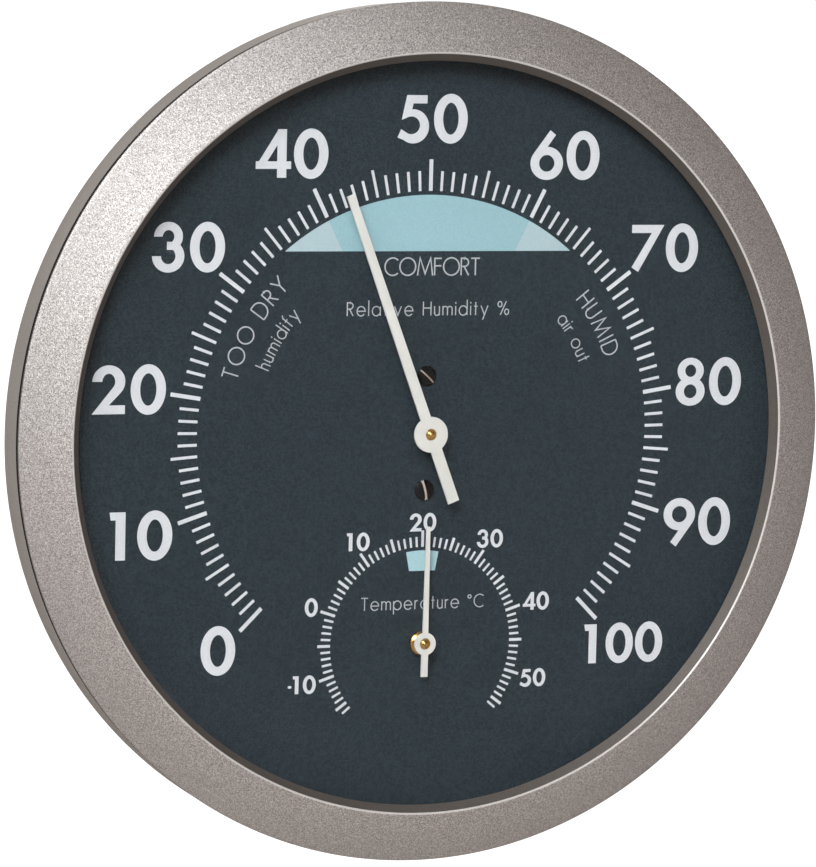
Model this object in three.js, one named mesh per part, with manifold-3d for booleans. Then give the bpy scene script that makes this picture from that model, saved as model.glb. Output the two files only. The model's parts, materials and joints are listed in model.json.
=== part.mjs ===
// Dial hygrometer with a small thermometer in its dial, a round instrument that hangs on a wall.
// Millimetres, +Z up. The dial faces -Y. The origin is on the wall plane, where the nail carries the keyhole.
// Inside the dial group the origin is the dial's centre on its printed face, and +Y goes back to the wall.

import * as THREE from 'three';
import { mergeVertices } from 'three/addons/utils/BufferGeometryUtils.js';
import Module from 'manifold-3d';

const wasm = await Module();
wasm.setup();

// ---------------------------------------------------------------- driving dimensions

const CASE_RADIUS = 66;
const WALL_BEHIND_DIAL = 20.8;
const HANG_HEIGHT = 46;
const BIG_SEGMENTS = 72;
const SMALL_SEGMENTS = 24;
const TINY_SEGMENTS = 16;

const RIDGE = { radius: 58.3, height: 5.2 };
const LIP = { radius: 57.0, height: 3.8 };
const RING_EDGE_HEIGHT = 2.6;
const RING_EDGE_THICKNESS = 0.4;
const RING_SKIRT = { outer: 63.9, inner: 63.1, back: 0.5 };

const BAND = { front: -1.2, back: 5.2, frontRadius: 65.8, backRadius: 65.7, inner: 64.1 };
const SHELF = { inner: 57.2, front: 0.9, back: 2.1 };

const CRYSTAL = { radius: 59.6, front: -3.75, back: -2.95 };
const SPACER = { outer: 59.6, inner: 58.5, front: -2.9, back: -0.05 };
const DIAL = { radius: 60.2, thickness: 0.6, bushHole: 1.7, screwHole: 1.05 };

const COVER = { flange: 63.9, flangeFront: 3.7, field: 19.8, thickness: 1.8 };
const COVER_WALL = { front: 58.6, back: 57.6 };
const COVER_RIM = { inner: 49.3, outer: 54.3 };
const COVER_SCREW = { count: 3, firstAngle: 60, circle: 61.2, headRadius: 2, headHeight: 1.2, radius: 0.85 };
const VENT = { count: 20, inner: 14, outer: 26, width: 2.2 };
const SIDE_VENT = { count: 18, width: 6, front: 8, back: 12.5 };
const ACCESS_HOLE = 3.5;
const KEYHOLE = { slot: 2.4, entry: 5, drop: 9 };

const PLATE = { front: 0.9, back: 1.9, halfWidth: 15, halfHeight: 13, corner: 4 };
const BRIDGE = { front: 12, back: 13.2, halfWidth: 14, halfHeight: 4.5 };
const PILLAR = { x: 11.5, radius: 1.6, bore: 0.95 };
const DIAL_SCREW = { offset: 8.73, headRadius: 1.6, headHeight: 0.65, radius: 0.8, end: 3.2 };
const DIAL_SCREW_SLOT_ANGLES = { upper: -42, lower: 106 };

const SPINDLE = 0.5;
const SPINDLE_BEARING = 0.59;
const SPINDLE_GRIP = 0.54;

const HUMIDITY = { bladeLength: 39.1, tailLength: 11.2, disc: 2.74, face: -2.5, thickness: 0.35 };
const HUMIDITY_WIDTHS = { root: 1.75, tip: 1.28, tail: 1.85 };
const HUMIDITY_READING_ANGLE = -21;
const HUMIDITY_COIL = { front: 5, back: 9.5, inner: 2.15, outer: 8.3, turns: 3.25, strip: 0.25 };
const REGULATOR = { armLength: 9.2, armFront: 10.2, armBack: 11, stem: 2.4, head: 3.4, headBack: 15 };

const THERMO_DROP = 32.3;
const TEMPERATURE = { bladeLength: 18.1, tailLength: 5.1, disc: 1.74, face: -2.05, thickness: 0.35 };
const TEMPERATURE_WIDTHS = { root: 0.92, tip: 0.58, tail: 1.06 };
const TEMPERATURE_READING_ANGLE = 0.4;
const BIMETAL_COIL = { front: 5, back: 8, inner: 1.65, outer: 5.4, turns: 4, strip: 0.3 };
const STRAP = { front: 0.9, back: 11.3, thickness: 0.8, halfWidth: 4, drop: 8.6 };

// ---------------------------------------------------------------- materials

function material(color, roughness, metalness) {
  return new THREE.MeshStandardMaterial({ color, roughness, metalness });
}

const ringMetal = material(0xaaa49c, 0.42, 1);
const bandMetal = material(0x928d88, 0.5, 0.9);
const coverPlastic = material(0x24272b, 0.65, 0);
const spacerPlastic = material(0x16181b, 0.7, 0);
const clearPane = new THREE.MeshStandardMaterial({
  color: 0xffffff, roughness: 0.05, metalness: 0, transparent: true, opacity: 0.12,
});
const dialPaint = material(0x2f3a44, 0.6, 0.1);
const pointerPaint = material(0xdedbd4, 0.5, 0);
const brass = material(0xb58a45, 0.3, 1);
const steel = material(0x9a9c9f, 0.35, 1);
const darkNickel = material(0x3a3531, 0.25, 1);
const sensorStrip = material(0xb9a06a, 0.5, 0.3);
const bimetal = material(0xa79a86, 0.35, 1);

// ---------------------------------------------------------------- geometry helpers

const degrees = (angle) => THREE.MathUtils.degToRad(angle);

function signedVolume(position, index) {
  const [a, b, c] = [new THREE.Vector3(), new THREE.Vector3(), new THREE.Vector3()];
  let volume = 0;
  for (let i = 0; i < index.length; i += 3) {
    a.fromBufferAttribute(position, index[i]);
    b.fromBufferAttribute(position, index[i + 1]);
    c.fromBufferAttribute(position, index[i + 2]);
    volume += a.dot(b.cross(c)) / 6;
  }
  return volume;
}

// A closed three.js geometry as a solid: vertices merged, empty triangles dropped, faces turned outward.
function solid(geometry) {
  geometry.deleteAttribute('normal');
  geometry.deleteAttribute('uv');
  const merged = mergeVertices(geometry, 1e-4);
  const triangles = [];
  for (let i = 0; i < merged.index.count; i += 3) {
    const [a, b, c] = [0, 1, 2].map((k) => merged.index.getX(i + k));
    if (a !== b && b !== c && a !== c) triangles.push(a, b, c);
  }
  if (signedVolume(merged.attributes.position, triangles) < 0) triangles.reverse();
  return new wasm.Manifold(new wasm.Mesh({
    numProp: 3,
    vertProperties: new Float32Array(merged.attributes.position.array),
    triVerts: new Uint32Array(triangles),
  }));
}

// A body of revolution about the dial's axis. The profile is [radius, y] points, from axis to axis or round a loop.
function turned(profile, segments) {
  const points = profile.map(([radius, y]) => new THREE.Vector2(radius, y));
  const onAxis = profile[0][0] === 0 && profile.at(-1)[0] === 0;
  if (!onAxis) points.push(points[0].clone());
  return solid(new THREE.LatheGeometry(points, segments));
}

// A flat shape drawn in x and z, from y = front to y = back.
function slab(shape, front, back) {
  const geometry = new THREE.ExtrudeGeometry(shape, { depth: back - front, bevelEnabled: false });
  geometry.rotateX(Math.PI / 2);
  geometry.translate(0, back, 0);
  return solid(geometry);
}

function box(width, depth, height, x, y, z, turn = 0) {
  const geometry = new THREE.BoxGeometry(width, depth, height);
  geometry.rotateY(turn);
  geometry.translate(x, y, z);
  return solid(geometry);
}

function rod(radius, front, back, x = 0, z = 0, segments = TINY_SEGMENTS) {
  const geometry = new THREE.CylinderGeometry(radius, radius, back - front, segments);
  geometry.translate(x, (front + back) / 2, z);
  return solid(geometry);
}

function arc(centreX, centreZ, radius, from, to, steps) {
  const points = [];
  for (let i = 0; i <= steps; i += 1) {
    const angle = degrees(from + ((to - from) * i) / steps);
    points.push(new THREE.Vector2(centreX + radius * Math.cos(angle), centreZ + radius * Math.sin(angle)));
  }
  return points;
}

function roundedRectangle(halfWidth, halfHeight, corner, steps = 4) {
  const x = halfWidth - corner;
  const z = halfHeight - corner;
  return new THREE.Shape([
    ...arc(x, z, corner, 0, 90, steps),
    ...arc(-x, z, corner, 90, 180, steps),
    ...arc(-x, -z, corner, 180, 270, steps),
    ...arc(x, -z, corner, 270, 360, steps),
  ]);
}

// A spiral strip of even thickness, standing on edge along the dial's axis.
function spiralStrip({ front, back, inner, outer, turns, strip }, endAngle) {
  const steps = Math.round(turns * SMALL_SEGMENTS);
  const side = (offset) => Array.from({ length: steps + 1 }, (_, i) => {
    const angle = degrees(endAngle) - (1 - i / steps) * turns * 2 * Math.PI;
    const radius = inner + ((outer - inner) * i) / steps + offset;
    return new THREE.Vector2(radius * Math.cos(angle), radius * Math.sin(angle));
  });
  return slab(new THREE.Shape([...side(-strip / 2), ...side(strip / 2).reverse()]), front, back);
}

const dialGroup = new THREE.Group();
dialGroup.position.set(0, -WALL_BEHIND_DIAL, -HANG_HEIGHT);

const thermometerGroup = new THREE.Group();
thermometerGroup.position.set(0, 0, -THERMO_DROP);
dialGroup.add(thermometerGroup);

function addPiece(group, name, manifold, pieceMaterial) {
  const { vertProperties, triVerts } = manifold.getMesh();
  const geometry = new THREE.BufferGeometry();
  geometry.setAttribute('position', new THREE.BufferAttribute(new Float32Array(vertProperties), 3));
  geometry.setIndex(new THREE.BufferAttribute(new Uint32Array(triVerts), 1));
  geometry.computeVertexNormals();
  const mesh = new THREE.Mesh(geometry, pieceMaterial);
  mesh.name = name;
  group.add(mesh);
  return mesh;
}

function cutAll(body, cutters) {
  return cutters.reduce((rest, cutter) => rest.subtract(cutter), body);
}

// Positions on a circle round the dial's centre. Angles run clockwise from the top, seen from the front.
function onCircle(count, firstAngle, radius) {
  return Array.from({ length: count }, (_, i) => {
    const angle = degrees(firstAngle + (360 * i) / count);
    return { angle, x: radius * Math.sin(angle), z: radius * Math.cos(angle) };
  });
}

// ---------------------------------------------------------------- case

// Pressed ring: outer edge, sloping face, ridge, lip, and the skirt that goes inside the band.
function faceRing() {
  const underside = -2.75;
  return turned([
    [CASE_RADIUS, -RING_EDGE_HEIGHT + RING_EDGE_THICKNESS],
    [CASE_RADIUS, -RING_EDGE_HEIGHT],
    [RIDGE.radius, -RIDGE.height],
    [LIP.radius, -LIP.height],
    [LIP.radius + 0.9, -LIP.height],
    [LIP.radius + 1.6, -LIP.height - 0.45],
    [RING_SKIRT.inner, underside],
    [RING_SKIRT.inner, RING_SKIRT.back],
    [RING_SKIRT.outer, RING_SKIRT.back],
    [RING_SKIRT.outer, -RING_EDGE_HEIGHT + RING_EDGE_THICKNESS],
  ], BIG_SEGMENTS);
}

const coverScrewPlaces = onCircle(COVER_SCREW.count, COVER_SCREW.firstAngle, COVER_SCREW.circle);

// Side wall with a shelf behind the dial and a boss for each cover screw.
function caseBand() {
  const ring = turned([
    [BAND.frontRadius, BAND.front],
    [BAND.backRadius, BAND.back],
    [BAND.inner, BAND.back],
    [BAND.inner, SHELF.back],
    [SHELF.inner, SHELF.back],
    [SHELF.inner, SHELF.front],
    [BAND.inner, SHELF.front],
    [BAND.inner, BAND.front],
  ], BIG_SEGMENTS);
  const bosses = coverScrewPlaces.map(({ x, z }) => rod(2.4, SHELF.back - 0.5, COVER.flangeFront - 0.1, x, z));
  const holes = coverScrewPlaces.map(({ x, z }) => rod(COVER_SCREW.radius + 0.1, 0, BAND.back, x, z));
  return cutAll(bosses.reduce((body, boss) => body.add(boss), ring), holes);
}

function ventSlot({ angle }) {
  const half = VENT.width / 2;
  const slot = new THREE.Shape([
    ...arc(0, VENT.outer - half, half, 0, 180, 4),
    ...arc(0, VENT.inner + half, half, 180, 360, 4),
  ]);
  const geometry = new THREE.ExtrudeGeometry(slot, { depth: 4, bevelEnabled: false });
  geometry.rotateX(Math.PI / 2);
  geometry.rotateY(angle);
  geometry.translate(0, COVER.field + 1, 0);
  return solid(geometry);
}

function keyholeCut() {
  const entryZ = HANG_HEIGHT - KEYHOLE.drop;
  const halfSlot = degrees(90) - Math.asin(KEYHOLE.slot / KEYHOLE.entry);
  const halfSlotDegrees = THREE.MathUtils.radToDeg(halfSlot);
  const outline = new THREE.Shape([
    ...arc(0, HANG_HEIGHT, KEYHOLE.slot, 0, 180, 8),
    ...arc(0, entryZ, KEYHOLE.entry, 180 - halfSlotDegrees, 360 + halfSlotDegrees, 16),
  ]);
  return slab(outline, COVER.field - COVER.thickness - 1, COVER.field + 1);
}

// Moulded back: a flange in the band, a drafted wall with air slots, and a back field inside a raised wall rim.
function rearCover() {
  const inside = COVER.field - COVER.thickness;
  const shell = turned([
    [0, COVER.field],
    [COVER_RIM.inner - 0.6, COVER.field],
    [COVER_RIM.inner, WALL_BEHIND_DIAL],
    [COVER_RIM.outer, WALL_BEHIND_DIAL],
    [56.5, 19.9],
    [COVER_WALL.back, 18],
    [COVER_WALL.front, BAND.back],
    [COVER.flange, BAND.back],
    [COVER.flange, COVER.flangeFront],
    [COVER_WALL.front - COVER.thickness, COVER.flangeFront],
    [COVER_WALL.back - COVER.thickness, inside - 0.8],
    [COVER_WALL.back - COVER.thickness - 0.9, inside],
    [0, inside],
  ], BIG_SEGMENTS);
  const sideSlots = onCircle(SIDE_VENT.count, 10, COVER_WALL.front).map(({ angle, x, z }) => box(
    SIDE_VENT.width, SIDE_VENT.back - SIDE_VENT.front, 6,
    x, (SIDE_VENT.front + SIDE_VENT.back) / 2, z, angle,
  ));
  return cutAll(shell, [
    ...onCircle(VENT.count, 9, 1).map(ventSlot),
    ...sideSlots,
    ...coverScrewPlaces.map(({ x, z }) => rod(COVER_SCREW.radius + 0.25, 3, 6, x, z)),
    rod(ACCESS_HOLE, 17, 21, 0, 0, SMALL_SEGMENTS),
    keyholeCut(),
  ]);
}

function coverScrew({ x, z }) {
  const seat = BAND.back + 0.05;
  const top = seat + COVER_SCREW.headHeight;
  const body = turned([
    [0, top],
    [COVER_SCREW.headRadius * 0.6, top],
    [COVER_SCREW.headRadius, top - 0.5],
    [COVER_SCREW.headRadius, seat],
    [COVER_SCREW.radius, seat],
    [COVER_SCREW.radius, 1.4],
    [0, 1.1],
  ], TINY_SEGMENTS).subtract(box(2.4, 1.4, 0.5, 0, top, 0)).subtract(box(0.5, 1.4, 2.4, 0, top, 0));
  return body.translate([x, 0, z]);
}

addPiece(dialGroup, 'face_ring', faceRing(), ringMetal);
addPiece(dialGroup, 'case_band', caseBand(), bandMetal);
addPiece(dialGroup, 'rear_cover', rearCover(), coverPlastic);
coverScrewPlaces.forEach((place, i) => {
  addPiece(dialGroup, `cover_screw_${i + 1}`, coverScrew(place), steel);
});

// ---------------------------------------------------------------- pane and dial

function flatRing({ outer, inner, front, back }, segments) {
  return turned([[outer, front], [outer, back], [inner, back], [inner, front]], segments);
}

function crystal() {
  return turned([
    [0, CRYSTAL.front], [CRYSTAL.radius, CRYSTAL.front], [CRYSTAL.radius, CRYSTAL.back], [0, CRYSTAL.back],
  ], BIG_SEGMENTS);
}

function dialPlate() {
  const disc = turned([
    [0, 0], [DIAL.radius, 0], [DIAL.radius, DIAL.thickness], [0, DIAL.thickness],
  ], BIG_SEGMENTS);
  return cutAll(disc, [
    rod(DIAL.bushHole, -1, 1),
    rod(DIAL.bushHole, -1, 1, 0, -THERMO_DROP),
    rod(DIAL.screwHole, -1, 1, 0, DIAL_SCREW.offset),
    rod(DIAL.screwHole, -1, 1, 0, -DIAL_SCREW.offset),
  ]);
}

// Slotted screw with a low domed head on the dial, threaded into the movement's front plate.
function dialScrew(slotAngle, z) {
  const rim = -0.3;
  const screw = turned([
    [0, -DIAL_SCREW.headHeight],
    [DIAL_SCREW.headRadius * 0.55, -DIAL_SCREW.headHeight * 0.9],
    [DIAL_SCREW.headRadius, rim],
    [DIAL_SCREW.headRadius, -0.05],
    [DIAL_SCREW.radius, -0.05],
    [DIAL_SCREW.radius, DIAL_SCREW.end],
    [0, DIAL_SCREW.end],
  ], TINY_SEGMENTS);
  const slot = box(4, 0.7, 0.42, 0, -DIAL_SCREW.headHeight, 0, -degrees(slotAngle));
  return screw.subtract(slot).translate([0, 0, z]);
}

addPiece(dialGroup, 'crystal', crystal(), clearPane);
addPiece(dialGroup, 'spacer_ring', flatRing(SPACER, BIG_SEGMENTS), spacerPlastic);
addPiece(dialGroup, 'dial_plate', dialPlate(), dialPaint);
addPiece(dialGroup, 'dial_screw_upper', dialScrew(DIAL_SCREW_SLOT_ANGLES.upper, DIAL_SCREW.offset), darkNickel);
addPiece(dialGroup, 'dial_screw_lower', dialScrew(DIAL_SCREW_SLOT_ANGLES.lower, -DIAL_SCREW.offset), darkNickel);

// ---------------------------------------------------------------- pointers and their hubs

// A flat pointer that points up: tapering blade, round disc with a hole for the boss, straight tail.
function pointer({ bladeLength, tailLength, disc, face, thickness }, { root, tip, tail }, hole) {
  const blade = new THREE.Shape([
    new THREE.Vector2(-tip / 2, bladeLength),
    new THREE.Vector2(-root / 2, 0),
    new THREE.Vector2(root / 2, 0),
    new THREE.Vector2(tip / 2, bladeLength),
  ]);
  const counterweight = new THREE.Shape([
    new THREE.Vector2(-tail / 2, 0),
    new THREE.Vector2(-tail / 2, -tailLength),
    new THREE.Vector2(tail / 2, -tailLength),
    new THREE.Vector2(tail / 2, 0),
  ]);
  const back = face + thickness;
  return slab(blade, face, back)
    .add(slab(counterweight, face, back))
    .add(rod(disc, face, back, 0, 0, SMALL_SEGMENTS))
    .subtract(rod(hole, face - 1, back + 1));
}

// Brass boss: domed pin through the pointer's disc, shoulder behind it, blind bore for the spindle.
function boss({ pin, top, shoulder, shoulderFront, back }) {
  return turned([
    [0, top],
    [pin * 0.55, top + 0.06],
    [pin * 0.9, top + 0.2],
    [pin, top + 0.4],
    [pin, shoulderFront],
    [shoulder, shoulderFront],
    [shoulder, back],
    [SPINDLE_GRIP, back],
    [SPINDLE_GRIP, top + 0.5],
    [0, top + 0.5],
  ], TINY_SEGMENTS);
}

const HUMIDITY_BOSS = { pin: 0.86, top: -2.78, shoulder: 1.5, shoulderFront: -2.1, back: -0.75 };
const TEMPERATURE_BOSS = { pin: 0.84, top: -2.35, shoulder: 1.25, shoulderFront: -1.65, back: -1.0 };

function spindle(bossSize, back) {
  return rod(SPINDLE, bossSize.top + 0.55, back);
}

function collet(radius, front, back) {
  return turned([[radius, front], [radius, back], [SPINDLE_GRIP, back], [SPINDLE_GRIP, front]], TINY_SEGMENTS);
}

const humidityPointer = pointer(HUMIDITY, HUMIDITY_WIDTHS, HUMIDITY_BOSS.pin + 0.05);
addPiece(dialGroup, 'humidity_pointer', humidityPointer, pointerPaint)
  .rotation.y = degrees(HUMIDITY_READING_ANGLE);
addPiece(dialGroup, 'humidity_boss', boss(HUMIDITY_BOSS), brass);
addPiece(dialGroup, 'humidity_spindle', spindle(HUMIDITY_BOSS, 12.9), steel);
const humidityCollet = collet(HUMIDITY_COIL.inner - 0.25, HUMIDITY_COIL.front, HUMIDITY_COIL.back);
addPiece(dialGroup, 'humidity_collet', humidityCollet, brass);

const temperaturePointer = pointer(TEMPERATURE, TEMPERATURE_WIDTHS, TEMPERATURE_BOSS.pin + 0.05);
addPiece(thermometerGroup, 'temperature_pointer', temperaturePointer, pointerPaint)
  .rotation.y = degrees(TEMPERATURE_READING_ANGLE);
addPiece(thermometerGroup, 'temperature_boss', boss(TEMPERATURE_BOSS), brass);
addPiece(thermometerGroup, 'temperature_spindle', spindle(TEMPERATURE_BOSS, STRAP.back - 0.05), steel);
const temperatureCollet = collet(BIMETAL_COIL.inner - 0.25, BIMETAL_COIL.front, BIMETAL_COIL.back);
addPiece(thermometerGroup, 'temperature_collet', temperatureCollet, brass);

// ---------------------------------------------------------------- humidity movement

function movementPlate() {
  const plate = slab(roundedRectangle(PLATE.halfWidth, PLATE.halfHeight, PLATE.corner), PLATE.front, PLATE.back);
  return cutAll(plate, [
    rod(1.6, 0, 3),
    rod(DIAL_SCREW.radius + 0.1, 0, 3, 0, DIAL_SCREW.offset),
    rod(DIAL_SCREW.radius + 0.1, 0, 3, 0, -DIAL_SCREW.offset),
  ]);
}

// Front bearing of the spindle, through the plate and the dial, with its flange behind the plate.
function humidityBush() {
  return turned([
    [1.5, -0.4],
    [1.5, PLATE.back + 0.1],
    [2.6, PLATE.back + 0.1],
    [2.6, PLATE.back + 0.9],
    [SPINDLE_BEARING, PLATE.back + 0.9],
    [SPINDLE_BEARING, -0.4],
  ], TINY_SEGMENTS);
}

function pillar(x) {
  const bore = rod(PILLAR.bore, BRIDGE.front - 6, BRIDGE.front + 1, x);
  return rod(PILLAR.radius, PLATE.back + 0.05, BRIDGE.front - 0.05, x).subtract(bore);
}

function movementBridge() {
  const outline = roundedRectangle(BRIDGE.halfWidth, BRIDGE.halfHeight, BRIDGE.halfHeight - 0.01);
  return cutAll(slab(outline, BRIDGE.front, BRIDGE.back), [
    rod(REGULATOR.stem + 0.2, 11, 15, 0, 0, SMALL_SEGMENTS),
    rod(PILLAR.bore + 0.05, 11, 15, PILLAR.x),
    rod(PILLAR.bore + 0.05, 11, 15, -PILLAR.x),
  ]);
}

function bridgeScrew(x) {
  const seat = BRIDGE.back + 0.05;
  const screw = turned([
    [0, seat + 1],
    [1.2, seat + 1],
    [1.7, seat + 0.6],
    [1.7, seat],
    [PILLAR.bore - 0.15, seat],
    [PILLAR.bore - 0.15, 7],
    [0, 7],
  ], TINY_SEGMENTS);
  return screw.subtract(box(4, 1, 0.45, 0, seat + 1, 0, degrees(35))).translate([x, 0, 0]);
}

// Slotted bush in the bridge with the spindle's rear bearing, and an arm and post for the coil's outer end.
function regulator() {
  const { armLength, armFront, armBack, stem, head, headBack } = REGULATOR;
  const headFront = BRIDGE.back + 0.4;
  const bush = turned([
    [0, armFront], [stem, armFront], [stem, headFront], [head, headFront],
    [head, headBack - 0.3], [head - 0.3, headBack], [0, headBack],
  ], SMALL_SEGMENTS);
  const arm = box(2.2, armBack - armFront, armLength, 0, (armFront + armBack) / 2, -armLength / 2);
  const post = rod(0.6, HUMIDITY_COIL.front + 0.2, armBack, 0, -armLength + 0.05);
  return cutAll(bush.add(arm).add(post), [
    rod(SPINDLE_BEARING, armFront - 1, 13.1),
    box(8, 1.6, 0.9, 0, headBack, 0, degrees(20)),
  ]);
}

function regulatorWasher() {
  return flatRing({
    outer: REGULATOR.head - 0.1,
    inner: REGULATOR.stem + 0.15,
    front: BRIDGE.back + 0.1,
    back: BRIDGE.back + 0.3,
  }, SMALL_SEGMENTS);
}

addPiece(dialGroup, 'movement_plate', movementPlate(), brass);
addPiece(dialGroup, 'humidity_bush', humidityBush(), brass);
addPiece(dialGroup, 'pillar_left', pillar(-PILLAR.x), steel);
addPiece(dialGroup, 'pillar_right', pillar(PILLAR.x), steel);
addPiece(dialGroup, 'movement_bridge', movementBridge(), brass);
addPiece(dialGroup, 'bridge_screw_left', bridgeScrew(-PILLAR.x), steel);
addPiece(dialGroup, 'bridge_screw_right', bridgeScrew(PILLAR.x), steel);
addPiece(dialGroup, 'regulator', regulator(), brass);
addPiece(dialGroup, 'regulator_washer', regulatorWasher(), steel);
addPiece(dialGroup, 'humidity_coil', spiralStrip(HUMIDITY_COIL, -90), sensorStrip);

// ---------------------------------------------------------------- thermometer movement

// Flanged bush through the dial and the strap, with the nut behind them.
function temperatureBush() {
  return turned([
    [1.5, -0.8],
    [1.85, -0.5],
    [1.85, -0.05],
    [1.5, -0.05],
    [1.5, 4],
    [SPINDLE_BEARING, 4],
    [SPINDLE_BEARING, -0.8],
  ], TINY_SEGMENTS);
}

function temperatureNut() {
  const front = STRAP.front + STRAP.thickness + 0.1;
  return rod(2.9, front, front + 1.5, 0, 0, 6).subtract(rod(1.65, 0, 5));
}

// U-shaped strap: both legs have round tops, and the web joins them below the coil.
function temperatureStrap() {
  const { front, back, thickness, halfWidth, drop } = STRAP;
  const outline = new THREE.Shape([
    ...arc(0, 0, halfWidth, 0, 180, 10),
    new THREE.Vector2(-halfWidth, -drop),
    new THREE.Vector2(halfWidth, -drop),
  ]);
  const hollow = box(
    halfWidth * 3, back - front - 2 * thickness, drop + halfWidth,
    0, (front + back) / 2, (halfWidth - drop) / 2 + thickness,
  );
  return cutAll(slab(outline, front, back), [
    hollow,
    rod(1.65, 0, 3),
    rod(SPINDLE_BEARING, 9, 13),
  ]);
}

addPiece(thermometerGroup, 'temperature_bush', temperatureBush(), brass);
addPiece(thermometerGroup, 'temperature_nut', temperatureNut(), brass);
addPiece(thermometerGroup, 'temperature_bracket', temperatureStrap(), steel);
addPiece(thermometerGroup, 'bimetal_coil', spiralStrip(BIMETAL_COIL, -90), bimetal);
const studZ = -(BIMETAL_COIL.outer + BIMETAL_COIL.strip / 2 + 0.6);
const coilStud = rod(0.5, BIMETAL_COIL.front, STRAP.back - STRAP.thickness - 0.05, 0, studZ);
addPiece(thermometerGroup, 'coil_stud', coilStud, steel);

const hygrometer = new THREE.Group();
hygrometer.add(dialGroup);

export default hygrometer;
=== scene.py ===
"""Looks of the dial hygrometer: smooth visible parts, printed dial, materials, light and camera.

Shapes are written in millimetres from the dial's centre on its printed face: x to the right, y back to the
wall, z up, so a height above the dial is a negative y. add_piece() turns them into metres in the row frame.
"""

import json
from math import atan2, cos, hypot, pi, radians, sin, tan

import bmesh
import bpy
from mathutils import Matrix, Vector
from mathutils.geometry import delaunay_2d_cdt

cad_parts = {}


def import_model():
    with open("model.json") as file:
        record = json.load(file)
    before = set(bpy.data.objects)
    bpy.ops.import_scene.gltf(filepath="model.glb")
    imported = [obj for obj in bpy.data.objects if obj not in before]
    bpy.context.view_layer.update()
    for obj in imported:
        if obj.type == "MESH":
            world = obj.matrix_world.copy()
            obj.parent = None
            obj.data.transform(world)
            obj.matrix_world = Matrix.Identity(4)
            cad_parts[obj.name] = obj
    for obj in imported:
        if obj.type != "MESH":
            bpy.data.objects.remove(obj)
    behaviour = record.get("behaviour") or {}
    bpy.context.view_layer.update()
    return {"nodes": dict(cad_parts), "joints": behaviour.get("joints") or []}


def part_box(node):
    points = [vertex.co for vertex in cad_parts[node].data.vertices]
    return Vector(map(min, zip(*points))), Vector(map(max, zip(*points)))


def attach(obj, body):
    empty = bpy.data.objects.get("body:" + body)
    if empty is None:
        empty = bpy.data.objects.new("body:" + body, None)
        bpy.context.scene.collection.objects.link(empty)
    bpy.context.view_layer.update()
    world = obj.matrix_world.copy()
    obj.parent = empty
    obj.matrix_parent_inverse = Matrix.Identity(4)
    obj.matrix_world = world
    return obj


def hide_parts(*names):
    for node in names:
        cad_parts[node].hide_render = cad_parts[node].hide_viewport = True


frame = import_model()

# ---------------------------------------------------------------- places from the frame

MM = 0.001
JOINTS = {joint["name"]: Vector(joint["pos_m"]) for joint in frame["joints"]}
DIAL_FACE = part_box("dial_plate")[0].y
DIAL_CENTRE = Vector((JOINTS["humidity_turn"].x, DIAL_FACE, JOINTS["humidity_turn"].z))


def in_mm(point):
    """A point of the row frame, in millimetres from the dial's centre."""
    return (Vector(point) - DIAL_CENTRE) / MM


def box_mm(node):
    low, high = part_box(node)
    return in_mm(low), in_mm(high)


def middle_of(node):
    """The x and z of a node's middle, in millimetres from the dial's centre."""
    low, high = box_mm(node)
    return ((low.x + high.x) / 2, (low.z + high.z) / 2)


THERMOMETER = (0.0, in_mm(JOINTS["temperature_turn"]).z)

# ---------------------------------------------------------------- sizes in millimetres

# Kept free at the case's outermost faces, so that the pieces stay inside the CAD model's box.
EDGE_CLEARANCE = 0.02
CASE_RADIUS = box_mm("face_ring")[1].x - EDGE_CLEARANCE
RIDGE_RADIUS = 58.3
RIDGE_Y = box_mm("face_ring")[0].y + EDGE_CLEARANCE
LIP_RADIUS = 57.0
LIP_Y = -3.8
RING_EDGE_Y = -2.6
RING_EDGE_HEIGHT = 0.42
SKIRT_OUTER = 63.9
SKIRT_INNER = 63.1

BAND_RADIUS = 65.8
BAND_INNER = 64.1
BAND_FRONT = -1.2
BAND_BACK = 5.2
# The band's outside is painted near-black from its front edge back to here, a painted shadow for the shade of
# the joint.
JOINT_SHADOW_DEPTH = -0.9
COVER_SCREWS = ["cover_screw_1", "cover_screw_2", "cover_screw_3"]

# Angles in degrees for each percent and each degree Celsius, and the readings at the top of the scales.
PERCENT_ANGLE = 2.7
PERCENT_TOP = 50
CELSIUS_ANGLE = 3.6
CELSIUS_TOP = 20
SCALE_ROOT = 36.95
SMALL_SCALE_ROOT = 14.85
PRINT_HEIGHT = 0.03
PATCH_HEIGHT = 0.015
PRINT_GAP = 0.002

# Places round a turned piece, and the angle in degrees above which an edge is sharp.
TURNED_STEPS = 360
SMALL_STEPS = 64
SHARP_ANGLE = 35

# ---------------------------------------------------------------- curves and flat shapes


def spread(start, end, steps):
    return [start + (end - start) * i / steps for i in range(steps + 1)]


def arc(cx, cz, rx, rz, start, end, steps=20):
    """Points on an ellipse. Angles are degrees anticlockwise from +x."""
    angles = [radians(a) for a in spread(start, end, steps)]
    return [(cx + rx * cos(a), cz + rz * sin(a)) for a in angles]


def polar(radius, angle):
    """A point at a clockwise angle in degrees from the top."""
    return (radius * sin(radians(angle)), radius * cos(radians(angle)))


def band(outer, inner):
    """Quads between two paths of equal length."""
    return [[outer[i], outer[i + 1], inner[i + 1], inner[i]] for i in range(len(outer) - 1)]


def ring_band(cx, cz, outer, inner, start=0, end=360, steps=48):
    return band(arc(cx, cz, *outer, start, end, steps), arc(cx, cz, *inner, start, end, steps))


def rectangle(low_x, low_z, high_x, high_z):
    return [(low_x, low_z), (high_x, low_z), (high_x, high_z), (low_x, high_z)]


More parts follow.
